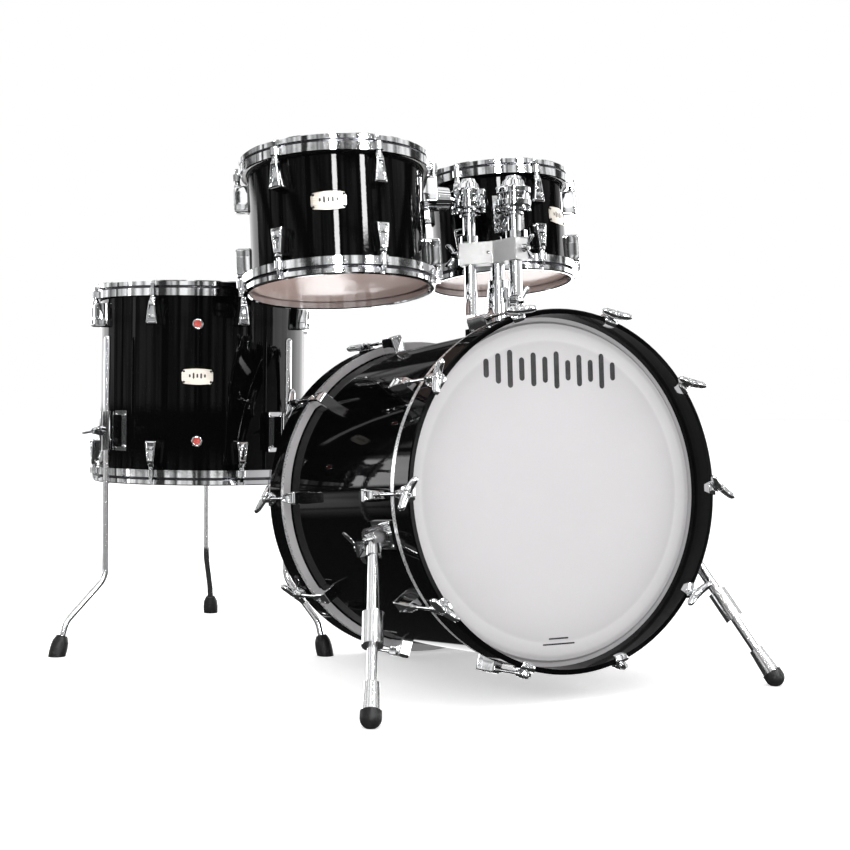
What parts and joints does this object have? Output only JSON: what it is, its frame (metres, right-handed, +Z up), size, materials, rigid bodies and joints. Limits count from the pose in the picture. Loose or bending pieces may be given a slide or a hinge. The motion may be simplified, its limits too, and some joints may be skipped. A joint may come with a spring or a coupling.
{
  "type": "acoustic drum kit",
  "caption": "Acoustic drum kit in gloss black with chrome hardware: bass drum on folding spurs, two rack toms on a ball-jointed holder, and a floor tom on three legs.",
  "frame": {"origin": "middle of the kit's footprint, on the floor", "axes": "+Z up; the audience stands on the -Y side, so +Y runs from the bass drum's front head back to the floor tom; +X is the audience's right"},
  "size_m": [1.0558, 1.2346, 0.918],
  "materials": {
    "black_lacquered_shell": "plywood shell, piano-black gloss lacquer outside, pale clear-coated maple inside",
    "black_lacquered_hoop": "plywood hoop, piano-black gloss lacquer",
    "cast_hoop_chrome": "die-cast, polished chrome plate",
    "cast_lug_chrome": "die-cast, polished chrome plate",
    "steel_rods": "chromed steel, threaded",
    "holder_chrome": "chromed steel tube and castings",
    "white_head_film": "white coated polyester film in an aluminium hoop",
    "clear_head_film": "clear polyester film in an aluminium hoop",
    "foot_rubber": "matt black moulded rubber",
    "ball_resin": "moulded resin ball"
  },
  "bodies": {
    "bass_drum": {"bass_shell": "black_lacquered_shell", "bass_hoops": "black_lacquered_hoop", "bass_front_head": "white_head_film", "bass_batter_head": "white_head_film", "bass_lugs": "cast_lug_chrome", "bass_claws": "cast_lug_chrome", "bass_tension_rods": "steel_rods", "bass_tom_mount": "holder_chrome", "bass_spur_brackets": "holder_chrome"},
    "mount_wing_bolt": {"holder_mount_wing_bolt": "holder_chrome"},
    "holder_post_lock": {"holder_post_lock": "holder_chrome"},
    "holder": {"holder_post": "holder_chrome", "holder_clamp": "holder_chrome"},
    "clamp_wing_left": {"holder_clamp_wing_left": "holder_chrome"},
    "arm_left_lock": {"arm_left_lock": "holder_chrome"},
    "arm_left": {"arm_left_tube": "holder_chrome"},
    "arm_left_ball": {"arm_left_ball": "ball_resin"},
    "arm_left_rod": {"arm_left_rod": "holder_chrome"},
    "tom_left": {"tom_left_shell": "black_lacquered_shell", "tom_left_hoops": "cast_hoop_chrome", "tom_left_batter_head": "white_head_film", "tom_left_resonant_head": "clear_head_film", "tom_left_lugs": "cast_lug_chrome", "tom_left_tension_rods": "steel_rods", "tom_left_bracket": "holder_chrome"},
    "clamp_wing_right": {"holder_clamp_wing_right": "holder_chrome"},
    "arm_right_lock": {"arm_right_lock": "holder_chrome"},
    "arm_right": {"arm_right_tube": "holder_chrome"},
    "arm_right_ball": {"arm_right_ball": "ball_resin"},
    "arm_right_rod": {"arm_right_rod": "holder_chrome"},
    "tom_right": {"tom_right_shell": "black_lacquered_shell", "tom_right_hoops": "cast_hoop_chrome", "tom_right_batter_head": "white_head_film", "tom_right_resonant_head": "clear_head_film", "tom_right_lugs": "cast_lug_chrome", "tom_right_tension_rods": "steel_rods", "tom_right_bracket": "holder_chrome"},
    "floor_tom": {"floor_tom_shell": "black_lacquered_shell", "floor_tom_hoops": "cast_hoop_chrome", "floor_tom_heads": "white_head_film", "floor_tom_lugs": "cast_lug_chrome", "floor_tom_tension_rods": "steel_rods", "floor_tom_leg_brackets": "holder_chrome"},
    "floor_leg_left": {"floor_leg_left_rod": "holder_chrome", "floor_leg_left_foot": "foot_rubber"},
    "floor_leg_left_wing": {"floor_leg_left_wing_bolt": "holder_chrome"},
    "floor_leg_right": {"floor_leg_right_rod": "holder_chrome", "floor_leg_right_foot": "foot_rubber"},
    "floor_leg_right_wing": {"floor_leg_right_wing_bolt": "holder_chrome"},
    "floor_leg_rear": {"floor_leg_rear_rod": "holder_chrome", "floor_leg_rear_foot": "foot_rubber"},
    "floor_leg_rear_wing": {"floor_leg_rear_wing_bolt": "holder_chrome"},
    "spur_left": {"spur_left_tube": "holder_chrome"},
    "spur_left_leg": {"spur_left_leg": "holder_chrome", "spur_left_foot": "foot_rubber"},
    "spur_left_wing": {"spur_left_wing_bolt": "holder_chrome"},
    "spur_right": {"spur_right_tube": "holder_chrome"},
    "spur_right_leg": {"spur_right_leg": "holder_chrome", "spur_right_foot": "foot_rubber"},
    "spur_right_wing": {"spur_right_wing_bolt": "holder_chrome"}
  },
  "joints": [
    {"name": "mount_wing_bolt_turn", "type": "hinge", "parent": "bass_drum", "child": "mount_wing_bolt", "pos_m": [0.14572, -0.32198, 0.65331], "axis": [0.866, -0.4985, 0.0384], "continuous": true},
    {"name": "holder_height", "type": "slide", "parent": "bass_drum", "child": "holder_post_lock", "axis": [0, 0.0767, 0.9971], "range_m": [0, 0.06]},
    {"name": "holder_swivel", "type": "hinge", "parent": "holder_post_lock", "child": "holder", "pos_m": [0.1284, -0.30552, 0.73679], "axis": [0, 0.0767, 0.9971], "range_deg": [-15, 15]},
    {"name": "clamp_wing_left_turn", "type": "hinge", "parent": "holder", "child": "clamp_wing_left", "pos_m": [0.07552, -0.26231, 0.73347], "axis": [-0.7734, 0.632, -0.0486], "continuous": true},
    {"name": "arm_left_height", "type": "slide", "parent": "holder", "child": "arm_left_lock", "axis": [0, 0.0767, 0.9971], "range_m": [0, 0.04]},
    {"name": "arm_left_swivel", "type": "hinge", "parent": "arm_left_lock", "child": "arm_left", "pos_m": [0.09099, -0.27495, 0.73444], "axis": [0, 0.0767, 0.9971], "range_deg": [-12, 12]},
    {"name": "tom_left_tilt", "type": "hinge", "parent": "arm_left", "child": "arm_left_ball", "pos_m": [0.09099, -0.26749, 0.83139], "axis": [-0.1906, -0.9788, 0.0753], "range_deg": [-12, 9]},
    {"name": "tom_left_roll", "type": "hinge", "parent": "arm_left_ball", "child": "arm_left_rod", "pos_m": [0.09099, -0.26749, 0.83139], "axis": [-0.9816, 0.1893, -0.0242], "range_deg": [-20, 20]},
    {"name": "tom_left_reach", "type": "slide", "parent": "arm_left_rod", "child": "tom_left", "axis": [-0.9816, 0.1893, -0.0242], "range_m": [-0.003, 0.018]},
    {"name": "clamp_wing_right_turn", "type": "hinge", "parent": "holder", "child": "clamp_wing_right", "pos_m": [0.14336, -0.36657, 0.74149], "axis": [0.2374, -0.9685, 0.0745], "continuous": true},
    {"name": "arm_right_height", "type": "slide", "parent": "holder", "child": "arm_right_lock", "axis": [0, 0.0767, 0.9971], "range_m": [0, 0.04]},
    {"name": "arm_right_swivel", "type": "hinge", "parent": "arm_right_lock", "child": "arm_right", "pos_m": [0.13861, -0.3472, 0.74], "axis": [0, 0.0767, 0.9971], "range_deg": [-12, 12]},
    {"name": "tom_right_tilt", "type": "hinge", "parent": "arm_right", "child": "arm_right_ball", "pos_m": [0.13861, -0.34016, 0.83151], "axis": [-0.913, 0.4067, -0.0313], "range_deg": [-12, 9]},
    {"name": "tom_right_roll", "type": "hinge", "parent": "arm_right_ball", "child": "arm_right_rod", "pos_m": [0.13861, -0.34016, 0.83151], "axis": [0.4076, 0.9063, -0.1117], "range_deg": [-20, 20]},
    {"name": "tom_right_reach", "type": "slide", "parent": "arm_right_rod", "child": "tom_right", "axis": [0.4076, 0.9063, -0.1117], "range_m": [-0.003, 0.018]},
    {"name": "floor_tom_place", "type": "slide", "parent": "bass_drum", "child": "floor_tom", "axis": [0, 1, 0], "range_m": [0, 0.1]},
    {"name": "floor_leg_left_height", "type": "slide", "parent": "floor_tom", "child": "floor_leg_left", "axis": [0, 0, 1], "range_m": [-0.04, 0.12]},
    {"name": "floor_leg_left_wing_turn", "type": "hinge", "parent": "floor_tom", "child": "floor_leg_left_wing", "pos_m": [-0.43054, 0.19588, 0.415], "axis": [-0.9239, -0.3827, 0], "continuous": true},
    {"name": "floor_leg_right_height", "type": "slide", "parent": "floor_tom", "child": "floor_leg_right", "axis": [0, 0, 1], "range_m": [-0.04, 0.012]},
    {"name": "floor_leg_right_wing_turn", "type": "hinge", "parent": "floor_tom", "child": "floor_leg_right_wing", "pos_m": [-0.09828, 0.05826, 0.415], "axis": [0.3827, -0.9239, 0], "continuous": true},
    {"name": "floor_leg_rear_height", "type": "slide", "parent": "floor_tom", "child": "floor_leg_rear", "axis": [0, 0, 1], "range_m": [-0.04, 0.12]},
    {"name": "floor_leg_rear_wing_turn", "type": "hinge", "parent": "floor_tom", "child": "floor_leg_rear_wing", "pos_m": [-0.09828, 0.52814, 0.415], "axis": [0.3827, 0.9239, 0], "continuous": true},
    {"name": "spur_left_fold", "type": "hinge", "parent": "bass_drum", "child": "spur_left", "pos_m": [-0.16732, -0.43157, 0.25878], "axis": [0.9744, 0.0173, 0.2243], "range_deg": [0, 45]},
    {"name": "spur_left_length", "type": "slide", "parent": "spur_left", "child": "spur_left_leg", "axis": [-0.2818, -0.5464, -0.7887], "range_m": [-0.04, 0.03]},
    {"name": "spur_left_wing_turn", "type": "hinge", "parent": "bass_drum", "child": "spur_left_wing", "pos_m": [-0.17489, -0.40289, 0.24041], "axis": [0, 0.9971, -0.0767], "continuous": true},
    {"name": "spur_right_fold", "type": "hinge", "parent": "bass_drum", "child": "spur_right", "pos_m": [0.42412, -0.43157, 0.25878], "axis": [0.9744, -0.0173, -0.2243], "range_deg": [0, 45]},
    {"name": "spur_right_length", "type": "slide", "parent": "spur_right", "child": "spur_right_leg", "axis": [0.2818, -0.5464, -0.7887], "range_m": [-0.04, 0.03]},
    {"name": "spur_right_wing_turn", "type": "hinge", "parent": "bass_drum", "child": "spur_right_wing", "pos_m": [0.43169, -0.40289, 0.24041], "axis": [0, 0.9971, -0.0767], "continuous": true}
  ]
}
